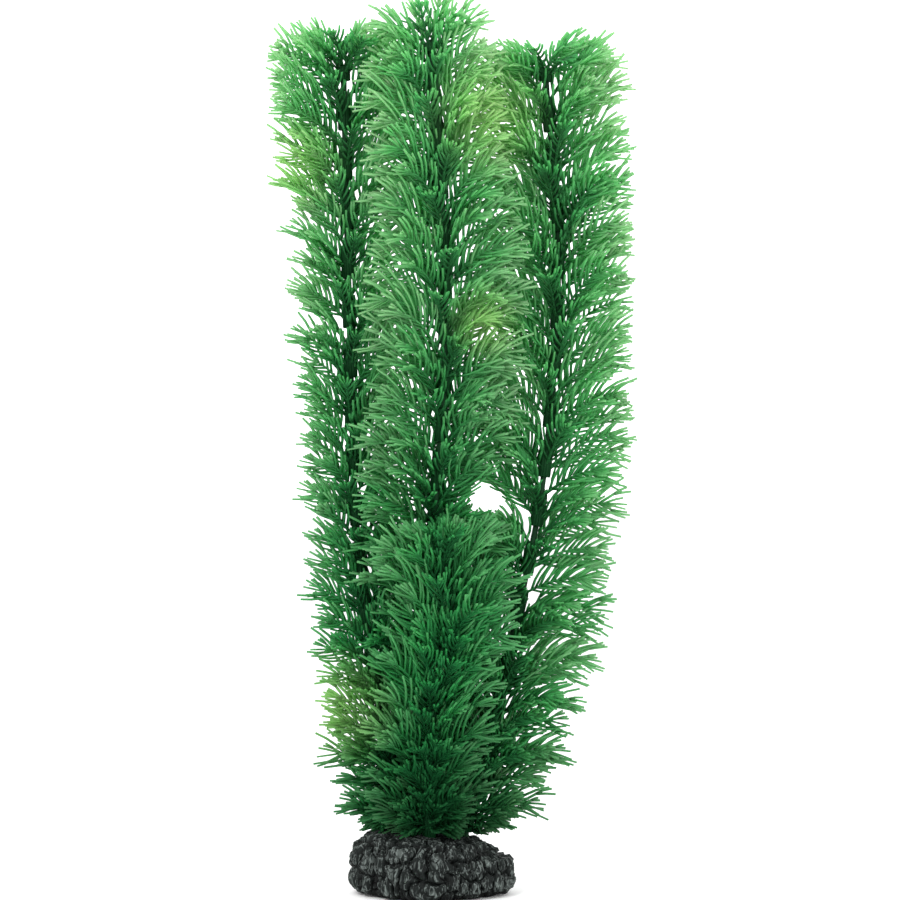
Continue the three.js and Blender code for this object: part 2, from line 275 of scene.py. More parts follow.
class Strands:
    """Tapered three-sided strands that are collected, and then written as one mesh."""

    def __init__(self):
        self.places = []
        self.quads = []
        self.triangles = []
        self.quad_spots = []
        self.triangle_spots = []
        self.values = {"reach": [], "tip": [], "tone_and_shade": []}
        self.corners = 0
        self.strands = 0

    def add(self, middles, sides, normals, half_widths, half_heights, reach, tip, tone_and_shade):
        """Arrays with a row for each strand and a column for each ring of three corners."""
        strands, rings = middles.shape[:2]
        wide = sides * half_widths[..., None]
        tall = normals * half_heights[..., None]
        ring_corners = [middles + wide - tall * 0.5, middles + tall, middles - wide - tall * 0.5]
        self.places.append(np.stack(ring_corners, axis=2).reshape(-1, 3))
        around = np.arange(3)
        ring = np.arange(rings - 1)[:, None] * 3
        after = (around + 1) % 3
        quads = np.stack([ring + around, ring + after, ring + 3 + after, ring + 3 + around], axis=-1)
        caps = np.array([[2, 1, 0], around + (rings - 1) * 3])
        starts = self.corners + np.arange(strands)[:, None, None] * rings * 3
        self.quads.append((quads.reshape(1, -1, 4) + starts).reshape(-1, 4))
        self.triangles.append((caps[None] + starts).reshape(-1, 3))
        self.add_spots(strands, rings)
        for name, value in (("reach", reach), ("tip", tip), ("tone_and_shade", tone_and_shade)):
            spread = np.broadcast_to(value, (strands, rings))
            self.values[name].append(np.repeat(spread.reshape(-1), 3))
        self.corners += strands * rings * 3
        self.strands += strands

    def add_spots(self, strands, rings):
        """Each strand's place on the flat map: a cell with its sides in the middle and its two ends."""
        step = (1 - 2 * CELL_END) / (rings - 1)
        left, low = np.meshgrid(np.arange(3) / 3, CELL_END + step * np.arange(rings - 1))
        right, high = left + 1 / 3, low + step
        sides = np.stack([left, low, right, low, right, high, left, high], axis=-1).reshape(-1, 2)
        end = np.array([[CELL_INSET, CELL_GAP], [1 - CELL_INSET, CELL_GAP], [0.5, CELL_END - CELL_GAP]])
        ends = np.vstack([end, [0, 1] + end * [1, -1]])
        cells = self.strands + np.arange(strands)
        for spots, into in ((sides, self.quad_spots), (ends, self.triangle_spots)):
            inside = CELL_EDGE + (1 - 2 * CELL_EDGE) * spots
            into.append(np.concatenate([
                np.broadcast_to(inside[None], (strands, *inside.shape)),
                np.broadcast_to(cells[:, None, None], (strands, len(inside), 1)),
            ], axis=-1).reshape(-1, 3))

    def mesh(self, name):
        values = {key: np.concatenate(value) for key, value in self.values.items()}
        across = math.ceil(math.sqrt(self.strands))
        spots = np.vstack(self.quad_spots + self.triangle_spots)
        cells = np.stack([spots[:, 2] % across, spots[:, 2] // across], axis=1)
        flat = (spots[:, :2] + cells) / across
        parts = (np.vstack(part) for part in (self.places, self.quads, self.triangles))
        return closed_mesh(name, *parts, flat, values)


def closed_mesh(name, places, quads, triangles, flat, values):
    """A smooth mesh from its corners, four-sided faces and triangles, its flat map and its values."""
    mesh = bpy.data.meshes.new(name)
    mesh.vertices.add(len(places))
    mesh.vertices.foreach_set("co", places.astype(np.float32).ravel())
    corners = np.concatenate([quads.ravel(), triangles.ravel()]).astype(np.int32)
    mesh.loops.add(len(corners))
    mesh.loops.foreach_set("vertex_index", corners)
    starts = np.concatenate([np.arange(len(quads)) * 4, quads.size + np.arange(len(triangles)) * 3])
    mesh.polygons.add(len(starts))
    mesh.polygons.foreach_set("loop_start", starts.astype(np.int32))
    mesh.polygons.foreach_set("use_smooth", np.ones(len(starts), bool))
    mesh.uv_layers.new(name="OFBake").uv.foreach_set("vector", flat.astype(np.float32).ravel())
    for key, value in values.items():
        attribute = mesh.attributes.new(key, "FLOAT", "POINT")
        attribute.data.foreach_set("value", value.astype(np.float32))
    mesh.update(calc_edges=True)
    mesh.validate()
    return mesh


def grid_faces(rows, around):
    """The faces of rows of corners that close on themselves, with a fan over each end, and their map."""
    row = np.arange(rows - 1)[:, None]
    side = np.arange(around)[None]
    after = (side + 1) % around
    start = row * around
    quads = np.stack([start + side, start + after, start + around + after, start + around + side], axis=-1)
    left = np.broadcast_to(side / around, (rows - 1, around))
    low = np.broadcast_to((row + 1) / (rows + 1), (rows - 1, around))
    right, high = left + 1 / around, low + 1 / (rows + 1)
    spots = np.stack([left, low, right, low, right, high, left, high], axis=-1).reshape(-1, 2)
    side, after = side[0], after[0]
    first, last = rows * around, rows * around + 1
    top = (rows - 1) * around
    under = np.stack([np.full(around, first), after, side], axis=-1)
    over = np.stack([np.full(around, last), top + side, top + after], axis=-1)
    left, right, middle = side / around, (side + 1) / around, (side + 0.5) / around
    none = np.zeros(around)
    edge = none + 1 / (rows + 1)
    flat_under = np.stack([middle, none, right, edge, left, edge], axis=-1)
    flat_over = np.stack([middle, none + 1, left, 1 - edge, right, 1 - edge], axis=-1)
    flat = np.vstack([spots, flat_under.reshape(-1, 2), flat_over.reshape(-1, 2)])
    return quads.reshape(-1, 4), np.vstack([under, over]), flat


def add_piece(name, mesh, material, node):
    piece = bpy.data.objects.new(name, mesh)
    bpy.context.scene.collection.objects.link(piece)
    mesh.materials.append(material)
    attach(piece, "root")
    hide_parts(node)
    return piece


def rotate(vectors, axes, angles):
    """Turns vectors about unit axes."""
    cos = np.cos(angles)[..., None]
    sin = np.sin(angles)[..., None]
    along = (vectors * axes).sum(axis=-1, keepdims=True) * axes
    return vectors * cos + np.cross(axes, vectors) * sin + along * (1 - cos)


def curved(starts, headings, normals, lengths, bends, rings):
    """Strands that bend evenly about their normals: each ring's middle and side, and the last heading."""
    share = np.linspace(0, 1, rings)
    middles = [starts]
    across = []
    for ring in range(rings):
        turned = rotate(headings, normals, bends * share[ring])
        across.append(np.cross(normals, turned))
        if ring < rings - 1:
            midway = rotate(headings, normals, bends * (share[ring] + share[ring + 1]) / 2)
            middles.append(middles[-1] + midway * (lengths / (rings - 1))[:, None])
    last = rotate(headings, normals, bends)
    return np.stack(middles, axis=1), np.stack(across, axis=1), last


def room_for(starts, middles, clearing, margin):
    """The share of its length that each strand can keep inside the CAD's box and out of the clearing."""
    low = (np.array(CAD_BOX[0]) + margin)[:, None]
    high = (np.array(CAD_BOX[1]) - margin)[:, None]
    offset = middles - starts[:, None]
    with np.errstate(divide="ignore", invalid="ignore"):
        room = np.where(offset > 0, (high - starts[:, None]) / offset, (low - starts[:, None]) / offset)
    room = np.where(np.abs(offset) < TINY, np.inf, room).min(axis=(1, 2))
    blocked = np.linalg.norm(middles[:, :, ::2] - CLEARING, axis=2) < clearing
    blocked |= ((middles > ROCK_BOX[0]) & (middles < ROCK_BOX[1])).all(axis=2)
    first = np.where(blocked.any(axis=1), blocked.argmax(axis=1) / middles.shape[1], 1)
    return np.clip(np.minimum(room, first), LEAST_LENGTH, 1)


def add_needles(strands, needles, random):
    """Needles with a single point, or with a fork that splits half way."""
    count = len(needles["start"])
    forked = random.uniform(0, 1, count) < FORKED_SHARE
    needles["clearing"] = CLEARING_RADIUS * random.uniform(*CLEARING_RANGE, (count, 1))
    needles["margin"] = BOX_MARGIN + random.uniform(0, 1, (count, 1)) * UNEVEN_MARGIN
    for split in (False, True):
        chosen = {key: value[forked == split] for key, value in needles.items()}
        if len(chosen["start"]):
            add_alike(strands, chosen, split)


def add_alike(strands, needles, split):
    """Needles that all have a fork, or that all have none."""
    start, heading, normal = (needles[key] for key in ("start", "heading", "normal"))
    bend = needles["bend"]
    trial, _, _ = curved(start, heading, normal, needles["length"], bend, TRIAL_RINGS)
    length = needles["length"] * room_for(start, trial, needles["clearing"], needles["margin"])
    top = FORK_AT if split else 1
    rings = STALK_RINGS if split else NEEDLE_RINGS
    middles, sides, last = curved(start, heading, normal, length * top, bend * top, rings)
    add_tapered(strands, middles, sides, needles, 0, top)
    if not split:
        return
    for sign, share in PRONGS:
        turned = rotate(last, normal, np.full(len(start), sign * FORK_ANGLE))
        fork = middles[:, -1] - last * PRONG_OVERLAP
        prong_length = length * (1 - FORK_AT) * share
        prong_bend = bend * (1 - FORK_AT) - sign * FORK_ANGLE * PRONG_CURL
        prong, prong_sides, _ = curved(fork, turned, normal, prong_length, prong_bend, PRONG_RINGS)
        add_tapered(strands, prong, prong_sides, needles, FORK_AT, 1)


def add_tapered(strands, middles, sides, needles, low, high):
    """Strands that run from one share of a needle's length to another."""
    rings = middles.shape[1]
    tip = np.linspace(low, high, rings)
    taper = np.broadcast_to(1 - NEEDLE_TAPER * tip**2, middles.shape[:2])
    normals = needles["normal"][:, None].repeat(rings, axis=1)
    strands.add(
        middles, sides, normals, taper * NEEDLE_HALF_WIDTH, taper * NEEDLE_HALF_HEIGHT,
        needles["reach"][:, None], tip[None], needles["tone_and_shade"][:, None],
    )


class Rib:
    """A frond's midrib: its line, and the directions of the blade, which is rolled about it."""

    def __init__(self, line, aside, axis, roll):
        self.line = line
        self.aside = aside
        self.axis = axis
        self.roll = roll
        self.total = lengths_along(line)[-1]
        self.end = self.total * RIB_END

    def place(self, at):
        return place_on(self.line, at)

    def heading(self, at):
        step = HEADING_STEP * self.total
        return unit(self.place(np.minimum(at + step, self.total)) - self.place(np.maximum(at - step, 0)))

    def blade(self, at):
        """Directions along, across and out of the blade."""
        along = self.heading(at)
        up = unit(np.cross(along, np.broadcast_to(self.aside, along.shape)))
        up *= np.sign(up @ self.axis + TINY)[:, None]
        right = rotate(np.cross(along, up), along, np.full(len(along), self.roll))
        return along, right, np.cross(right, along)


def rib_of(hub, axes, tip, arch, sway):
    """Places along a frond's midrib: a parabola from the hub that ends at the frond's tip."""
    across, onward, axis = axes
    reach = math.hypot(tip[0], tip[1])
    out = (across * tip[0] + onward * tip[1]) / reach
    chord = tip[2] / reach
    start = max(math.tan(min(math.atan(chord) + arch, STEEPEST_START)), chord)
    share = np.linspace(0, 1, RIB_STEPS)
    distance = share * reach
    lift = distance * (chord + (start - chord) * (1 - share))
    aside = np.cross(axis, out)
    rib = hub + out * distance[:, None] + axis * lift[:, None] + aside * (sway * share**2)[:, None]
    return rib, aside


def fitting(hub, axes, tip, arch):
    """The tip, nearer to its hub where the frond would leave the CAD's box or cross the clearing."""
    rib, _ = rib_of(hub, axes, tip, arch, 0)
    return tip * room_for(hub[None], rib[None], CLEARING_RADIUS, np.full((1, 3), BOX_MARGIN))[0]


def add_midrib(strands, rib, tone_and_shade):
    at = np.linspace(RIB_START, rib.end, RIB_POINTS)
    _, side, normal = rib.blade(at)
    taper = 1 - RIB_TAPER * at / rib.total
    strands.add(
        rib.place(at)[None], side[None], normal[None], (taper * RIB_HALF_WIDTH)[None],
        (taper * RIB_HALF_HEIGHT)[None], (at / rib.total)[None], np.zeros(1), np.array([[tone_and_shade]]),
    )


def needle_angles(share, angle, random):
    """Angles of needles at some shares of a rib's length."""
    foot, fall, scatter = angle
    return np.radians(foot - fall * share + random.normal(0, scatter, len(share)))


def rib_needles(rib, sign, spacing, random):
    """Starts, headings, bends, lengths and places along the rib of the needles on one side of it."""
    first = min(BARE_RIB, BARE_SHARE * rib.total) + (0.5 * spacing if sign > 0 else 0)
    room = max(rib.end - first, spacing)
    count = math.ceil(room / spacing / CROWDED_END)
    at = first + room * np.linspace(0, 1, count, endpoint=False) ** CROWDED_END
    at = at + random.normal(0, ROOT_SCATTER, count)
    share = at / rib.total
    along, right, flat = rib.blade(at)
    spread = needle_angles(share, SPREAD, random)
    lift = needle_angles(share, LIFT, random)
    level = along * np.cos(spread)[:, None] + right * (sign * np.sin(spread))[:, None]
    head = unit(level * np.cos(lift)[:, None] + flat * np.sin(lift)[:, None])
    plane = unit(np.cross(head, np.cross(flat, head)))
    length = NEEDLE_LENGTH * np.interp(share, *zip(*LENGTH_ALONG))
    length *= 1 + random.normal(0, LENGTH_SCATTER, count)
    turn_in = needle_angles(share, TURN_IN, random)
    droop = needle_angles(share, DROOP, random)
    aside = np.cross(plane, head)
    clockwise = np.sign((aside * right).sum(axis=1)) * sign
    bend = plane * (-clockwise * turn_in)[:, None] + aside * droop[:, None]
    return rib.place(at), head, bend, length, share


def end_fan(rib, random):
    """The same for the needles that fan out from the end of the rib."""
    turns = FAN_TURNS + random.normal(0, FAN_SCATTER, len(FAN_TURNS))
    at = np.full(len(turns), rib.end - FAN_START)
    along = rib.heading(at)
    _, _, normal = rib.blade(np.array([rib.end]))
    flat = np.broadcast_to(normal, along.shape)
    head = rotate(along, flat, turns)
    length = FAN_LENGTHS * random.uniform(*FAN_RANGE)
    bend = flat * (-turns * FAN_CURL)[:, None] + np.cross(flat, head) * FAN_DROOP
    return rib.place(at), head, bend, length, np.full(len(turns), RIB_END)


def add_frond(strands, hub, axes, tip, arch, spacing, random):
    line, aside = rib_of(hub, axes, fitting(hub, axes, tip, arch), arch, random.normal(0, RIB_SWAY))
    facing = (tip[1] / math.hypot(tip[0], tip[1])) ** 2
    # Fronds to the front and back get painted shade through their tone, besides its random scatter
    tone_and_shade = random.uniform(-1, 1) - FACING_PAINTED_SHADE * facing
    roll = random.choice([-1, 1]) * SIDE_ROLL * (1 - facing) + random.normal(0, ROLL_SCATTER)
    rib = Rib(line, aside, axes[2], roll)
    add_midrib(strands, rib, tone_and_shade)
    spacing = NEEDLE_SPACING * spacing * random.uniform(*SPACING_RANGE)
    groups = [rib_needles(rib, sign, spacing, random) for sign in (-1, 1)]
    groups.append(end_fan(rib, random))
    start, heading, bend, length, reach = (np.concatenate(values) for values in zip(*groups))
    # A frond that the CAD shortens has shorter needles
    shorter = min(1, rib.total / FULL_FROND) ** SHORT_POWER * (1 - FACING_SHRINK * facing)
    needles = {
        "start": start, "heading": heading, "normal": unit(bend), "bend": np.linalg.norm(bend, axis=1),
        "length": length * shorter, "reach": reach,
        "tone_and_shade": tone_and_shade + random.normal(0, TONE_SCATTER, len(length)),
    }
    add_needles(strands, needles, random)


def add_sleeve(strands, line, at, fall, rise):
    """The whorl's moulded sleeve, as stout strands side by side along the stem."""
    low = at + fall - HUB_HALF_HEIGHT
    lengths = np.array([low, low + SLEEVE_EDGE, at + rise, at + rise + HUB_HALF_HEIGHT])
    middle = place_on(line, lengths)
    ahead = place_on(line, lengths + HUB_RADIUS) - place_on(line, lengths - HUB_RADIUS)
    axes = [axes_about(axis) for axis in unit(ahead)]
    turns = np.linspace(0, 2 * math.pi, SLEEVE_STRANDS, endpoint=False)
    across, onward = (np.array([frame_axes[k] for frame_axes in axes])[None] for k in range(2))
    cos, sin = np.cos(turns)[:, None, None], np.sin(turns)[:, None, None]
    out = cos * across + sin * onward
    aside = cos * onward - sin * across
    wide = np.tile(SLEEVE_HALF_WIDTHS, (SLEEVE_STRANDS, 1))
    strands.add(
        middle[None] + out * SLEEVE_RADIUS, aside, out, wide, wide * SLEEVE_FLATNESS,
        np.full((1, 1), SLEEVE_REACH), np.zeros((1, 1)), np.zeros((1, 1)),
    )


def between(tip, after, row):
    """Tip of another row's frond, half way round between two of the CAD's."""
    first, second = (math.atan2(t[1], t[0]) for t in (tip, after))
    turn = first + ((second - first) % (2 * math.pi)) / 2
    reach = (math.hypot(*tip[:2]) + math.hypot(*after[:2])) / 2
    height = (tip[2] + after[2]) / 2
    length = math.hypot(reach, height) * row["length"]
    slope = min(math.atan2(height, reach) + row["lift"], STEEPEST)
    reach = length * math.cos(slope)
    return np.array([reach * math.cos(turn), reach * math.sin(turn), length * math.sin(slope)])


def build_whorl(node, line, whorl, pitch, arch, rows, spacing, material, index):
    random = np.random.default_rng(SEED * SEED_STEP + index)
    at, hub, axes, tips = whorl
    strands = Strands()
    rows = [row for row in rows if hub[2] <= row["up_to"]]
    rises = [0, *(row["rise"] for row in rows)]
    add_sleeve(strands, line, at, min(rises) * pitch, max(rises) * pitch)
    for tip in tips:
        add_frond(strands, hub, axes, tip, arch, spacing, random)
    for row in rows:
        sides_only = hub[2] > SHADED_BELOW and row is not CROWN_ROW
        above = at + row["rise"] * pitch
        base = place_on(line, above)
        up = unit(place_on(line, above + HUB_RADIUS) - place_on(line, above - HUB_RADIUS))
        for tip, after in zip(tips, np.roll(tips, -1, axis=0)):
            target = between(tip, after, row)
            if sides_only and abs(target[1]) > FACING * math.hypot(target[0], target[1]):
                continue
            add_frond(strands, base, axes_about(up), target, arch * row["arch"], row["spacing"], random)
    name = node.replace("whorl", "fronds")
    return add_piece(name, strands.mesh(name), material, node)


# Stems

ROD_SIDES = 12
ROD_RADIUS = 1.2 * MM
ROD_STEP = 1.6 * MM
ROD_SWELL = 0.07
SWELL_LENGTH = 17.5 * MM


def build_rod(node, line, material):
    """A round rod with slight swellings, along the CAD stem's middle line."""
    total = lengths_along(line)[-1]
    where = np.linspace(0, total, int(total / ROD_STEP))
    middle = place_on(line, where)
    heading = unit(np.gradient(middle, axis=0))
    across = unit(np.cross(heading, [0, 1, 0]))
    onward = np.cross(heading, across)
    radius = ROD_RADIUS * (1 - ROD_SWELL * np.cos(where / SWELL_LENGTH * 2 * math.pi) ** 2)
    turns = np.linspace(0, 2 * math.pi, ROD_SIDES, endpoint=False)
    out = across[:, None] * np.cos(turns)[None, :, None] + onward[:, None] * np.sin(turns)[None, :, None]
    places = (middle[:, None] + out * radius[:, None, None]).reshape(-1, 3)
    places = np.vstack([places, middle[:1], middle[-1:]])
    name = node.replace("stem", "rod")
    mesh = closed_mesh(name, places, *grid_faces(len(where), ROD_SIDES), {})
    return add_piece(name, mesh, material, node)


# Rock base

ROCK_AROUND = 620
ROCK_UP = 120
ROCK_PROFILE = np.array([
    [0.8, 0], [0.88, 0.03], [0.96, 0.12], [1, 0.27], [1, 0.42], [0.98, 0.6], [0.93, 0.76],
    [0.82, 0.9], [0.62, 0.97], [0.35, 0.99], [0, 1],
])
# Lumps, from large to small: how many, how far they stand out, their height by width and how pointed they are
LUMPS = ((105, 3.4 * MM, 1.2, 0.62), (700, 0.9 * MM, 3.4, 0.8), (2600, 0.5 * MM, 4.5, 0.8))
WARPS = ((16 * MM, 1.8 * MM), (6 * MM, 1.1 * MM), (2.4 * MM, 0.25 * MM))  # length and size of each wave
TOP_RELIEF = 0.35  # share of their relief that lumps keep on the rock's flat top
FLAT_BELOW = 0.2 * MM  # height up to which the skin belongs to the underside
RELIEF_FROM = 4 * MM  # height from which lumps have their full relief
WAVES = 9
PICK_RANGE = (0.75, 1)  # scatter in which place counts as farthest from those picked
SQUARENESS = 0.06
SQUARE_TURN = 0.4
TOP_TILT = 0.08  # how much lower the top is at the right end
END_LUMP_TOP = 0.6  # height of the low lump at the right end, by the rock's
END_SHRINK = 0.17
END_SPAN = 0.75  # half the turn, in radians, that the low lump takes up
END_STEP = 6  # how sudden the step above it is
UNDERCUT = 0.12  # share by which the left end's foot is rounded in
UNDERCUT_TOP = 0.32
UNDERCUT_SPAN = 0.9


def spread_points(random, places, count, stretch):
    """Picks count places that lie well apart, one after another."""
    places = places * stretch
    chosen = [int(random.integers(len(places)))]
    away = np.linalg.norm(places - places[chosen[0]], axis=1)
    for _ in range(count - 1):
        chosen.append(int(np.argmax(away * random.uniform(*PICK_RANGE, len(places)))))
        away = np.minimum(away, np.linalg.norm(places - places[chosen[-1]], axis=1))
    return places[chosen] / stretch


def lumps(places, centres, stretch):
    """Height of lumps that crowd each other, from 0 in the clefts between them to 1 on their tops."""
    nearest = np.full(len(places), np.inf)
    second = nearest.copy()
    for centre in centres:
        away = np.linalg.norm((places - centre) * stretch, axis=1)
        second = np.minimum(second, np.maximum(nearest, away))
        nearest = np.minimum(nearest, away)
    return 1 - (nearest / second) ** 2


def warped(places, random):
    """The places, moved about by waves in all directions, so that lumps come out uneven."""
    moved = places.copy()
    for length, size in WARPS:
        for _ in range(WAVES):
            across, along = unit(random.normal(0, 1, (2, 3)))
            phase = random.uniform(0, 2 * math.pi)
            wave = np.sin(places @ along * 2 * math.pi / length + phase)
            moved += size * math.sqrt(2 / WAVES) * wave[:, None] * across
    return moved


def rock_form(size):
    """Places and normals of the rock without its lumps, in rows from its foot up, and the number of rows."""
    outline = ROCK_PROFILE * [0.5, 1]
    even = np.linspace(0, lengths_along(outline)[-1], ROCK_UP)[:-1]
    radius, height = place_on(outline, even).T
    turns = np.linspace(0, 2 * math.pi, ROCK_AROUND, endpoint=False)
    squarish = 1 + SQUARENESS * np.cos(4 * turns + SQUARE_TURN)
    from_right = np.minimum(turns, 2 * math.pi - turns)
    over_lump = np.clip((height[:, None] / END_LUMP_TOP - 1) * END_STEP, 0, 1)
    step_back = np.exp(-((from_right / END_SPAN) ** 2)) * over_lump
    from_left = math.pi - from_right
    at_foot = np.clip(1 - height[:, None] / UNDERCUT_TOP, 0, 1) ** 2
    undercut = np.exp(-((from_left / UNDERCUT_SPAN) ** 2)) * at_foot
    wide = radius[:, None] * squarish * (1 - END_SHRINK * step_back - UNDERCUT * undercut)
    tall = np.repeat(height[:, None], ROCK_AROUND, axis=1) * (1 - TOP_TILT * np.cos(turns) * height[:, None])
    places = np.stack([wide * np.cos(turns), wide * np.sin(turns), tall], axis=-1) * size
    along = np.gradient(places, axis=0)
    around = np.roll(places, -1, axis=1) - np.roll(places, 1, axis=1)
    normals = unit(np.cross(around, along)).reshape(-1, 3)
    normals = np.vstack([normals, [[0, 0, -1], [0, 0, 1]]])
    places = np.vstack([places.reshape(-1, 3), [[0, 0, 0], [0, 0, size[2]]]])
    return places, normals, len(radius)


def build_rock(material):
    low, high = (np.array(corner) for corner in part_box("rock_base"))
    size = high - low
    random = np.random.default_rng(SEED)
    places, normals, rows = rock_form(size)
    uneven = warped(places, random)
    skin = uneven[places[:, 2] > FLAT_BELOW]
    above = np.clip(places[:, 2] / RELIEF_FROM, 0, 1)
    facing = np.clip(normals[:, 2] * 2 - 1, 0, 1)
    standing = above * (1 - (1 - TOP_RELIEF) * facing)
    levels = []
    relief = 0
    for count, stands_out, tallness, point in LUMPS:
        stretch = np.array([1, 1, 1 / tallness])
        level = lumps(uneven, spread_points(random, skin, count, stretch), stretch) ** point
        relief = relief + stands_out * level
        levels.append(level)
    moved = places + normals * (relief * standing)[:, None]
    moved[places[:, 2] < FLAT_BELOW, 2] = 0
    lowest, highest = moved.min(axis=0), moved.max(axis=0)
    moved = low + (moved - lowest) / (highest - lowest) * size
    values = dict(zip(("large", "middle", "small"), (level * above for level in levels)))
    mesh = closed_mesh("rock", moved, *grid_faces(rows, ROCK_AROUND), values)
    return add_piece("rock", mesh, material, "rock_base")


# Materials

# Numbers of the Mix node's sockets for colours, which share their names with its other sockets
MIX_COLOURS = (6, 7)
MIX_RESULT = 2


class Nodes:
    """A short way to make a material's nodes."""

    def __init__(self, name):
        self.material = bpy.data.materials.new(name)
        self.material.use_nodes = True
        self.tree = self.material.node_tree
        self.shader = self.tree.nodes["Principled BSDF"]
        self.output = self.tree.nodes["Material Output"]

    def make(self, kind, **values):
        node = self.tree.nodes.new(kind)
        for name, value in values.items():
            setattr(node, name, value)
        return node

    def link(self, source, target):
        self.tree.links.new(source, target)

    def attribute(self, name):
        return self.make("ShaderNodeAttribute", attribute_name=name).outputs["Fac"]

    def place(self):
        return self.make("ShaderNodeTexCoord").outputs["Object"]

    def noise(self, scale, detail=3.0, roughness=0.55, tallness=1.0):
        node = self.make("ShaderNodeTexNoise")
        node.inputs["Scale"].default_value = scale
        node.inputs["Detail"].default_value = detail
        node.inputs["Roughness"].default_value = roughness
        squeeze = self.make("ShaderNodeVectorMath", operation="MULTIPLY")
        squeeze.inputs[1].default_value = (1, 1, 1 / tallness)
        self.link(self.place(), squeeze.inputs[0])
        self.link(squeeze.outputs["Vector"], node.inputs["Vector"])
        return node.outputs["Fac"]

    def remap(self, value, low, high, to_low=0.0, to_high=1.0):
        node = self.make("ShaderNodeMapRange")
        self.link(value, node.inputs["Value"])
        for name, number in (("From Min", low), ("From Max", high), ("To Min", to_low), ("To Max", to_high)):
            node.inputs[name].default_value = number
        return node.outputs["Result"]

    def math(self, operation, first, second=0):
        node = self.make("ShaderNodeMath", operation=operation)
        for socket, value in zip(node.inputs, (first, second)):
            if isinstance(value, (int, float)):
                socket.default_value = value
            else:
                self.link(value, socket)
        return node.outputs["Value"]

    def blend(self, share, first, second):
        node = self.make("ShaderNodeMix", data_type="RGBA")
        self.link(share, node.inputs["Factor"])
        for number, value in zip(MIX_COLOURS, (first, second)):
            socket = node.inputs[number]
            if isinstance(value, tuple):
                socket.default_value = (*value, 1)
            else:
                self.link(value, socket)
        return node.outputs[MIX_RESULT]

    def bump(self, height, strength, distance):
        node = self.make("ShaderNodeBump")
        node.inputs["Strength"].default_value = strength
        node.inputs["Distance"].default_value = distance
        self.link(height, node.inputs["Height"])
        self.link(node.outputs["Normal"], self.shader.inputs["Normal"])


# Greens of a needle from its root to its tip: darker ones low on the plant as painted shade, and lighter ones
# at its top as painted light
SHADED_LOW_GREENS = ((0.03, 0.32, 0.09), (0.06, 0.43, 0.125), (0.2, 0.55, 0.24))
LIT_TOP_GREENS = ((0.13, 0.63, 0.2), (0.28, 0.74, 0.3), (0.62, 0.87, 0.53))
# Heights where the painted shade begins to give way to painted light, lower for the right plume so that it
# has more painted light low down, and where the painted light is fullest
PAINTED_SHADE_ENDS = {"left": 0.09, "center": 0.1, "right": -0.02, "front": 0.1}
PAINTED_LIGHT_FULL = 0.33
# How far out a place is: shares of its place along the frond and the needle, of its tone (random, with
# painted shade on fronds to the front and back) and of clouds
BY_FROND = 0.6
BY_NEEDLE = 0.4
BY_TONE = 0.1
BY_CLOUDS = 0.14
CLOUD_SCALE = 28
CLOUD_RANGE = (0.3, 0.7)
# Where the first green goes over into the second, and that into the third, by how far out they are
SECOND_GREEN = (0.1, 0.5)
THIRD_GREEN = (0.45, 1.0)
# Patches of painted light, where the needles are yellower and lighter: across, height and radius in mm
PAINTED_LIGHT_PATCHES = ((22, 294, 26), (-54, 278, 22), (20, 216, 16), (-38, 70, 26))
PAINTED_LIGHT_GREEN = (0.6, 0.87, 0.3)
PAINTED_LIGHT_SHARE = 0.5
PAINTED_LIGHT_CORE = 0.2
# Painted shade at the foot of the foliage, most of all in the middle, and on its inner parts; and the
# sleeves' own darker colour
SHADE_AND_SLEEVE_GREEN = (0.006, 0.045, 0.015)
FOOT_PAINTED_SHADE = 0.8
FOOT_FROM = 27 * MM
FOOT_MIDDLE = 4 * MM
FOOT_ASIDE = (10.2 * MM, 34 * MM)  # distances from that middle between which the painted shade lessens
ASIDE_SHARE = 0.45
INNER_PAINTED_SHADE = 0.6
INNER_RANGE = (-0.15, 0.25)
SLEEVE_DARK = 0.85
FROND_ROUGHNESS = 0.42
FROND_GLOSS = 0.12
SHINE_THROUGH = 0.58


def how_far_out(nodes):
    """How far out on its plume a place is, about 0 at the stem and 1 at the tips."""
    by_frond = nodes.math("MULTIPLY", nodes.attribute("reach"), BY_FROND)
    by_needle = nodes.math("MULTIPLY", nodes.attribute("tip"), BY_NEEDLE)
    by_tone = nodes.math("MULTIPLY", nodes.attribute("tone_and_shade"), BY_TONE)
    clouds = nodes.remap(nodes.noise(CLOUD_SCALE), *CLOUD_RANGE, -BY_CLOUDS, BY_CLOUDS)
    return nodes.math("ADD", nodes.math("ADD", nodes.math("ADD", by_frond, by_needle), by_tone), clouds)


def greens_at(nodes, outward, greens):
    """The green of a place by how far out it is."""
    inner = nodes.blend(nodes.remap(outward, *SECOND_GREEN), greens[0], greens[1])
    return nodes.blend(nodes.remap(outward, *THIRD_GREEN), inner, greens[2])


def with_painted_light_patches(nodes, green, place):
    """The green with its patches of painted light."""
    flat = nodes.make("ShaderNodeCombineXYZ")
    nodes.link(place.outputs["X"], flat.inputs["X"])
    nodes.link(place.outputs["Z"], flat.inputs["Z"])
    for across, up, radius in PAINTED_LIGHT_PATCHES:
        away = nodes.make("ShaderNodeVectorMath", operation="DISTANCE")
        nodes.link(flat.outputs["Vector"], away.inputs[0])
        away.inputs[1].default_value = (across * MM, 0, up * MM)
        core = PAINTED_LIGHT_CORE * radius * MM
        share = nodes.remap(away.outputs["Value"], core, radius * MM, PAINTED_LIGHT_SHARE, 0)
        green = nodes.blend(share, green, PAINTED_LIGHT_GREEN)
    return green


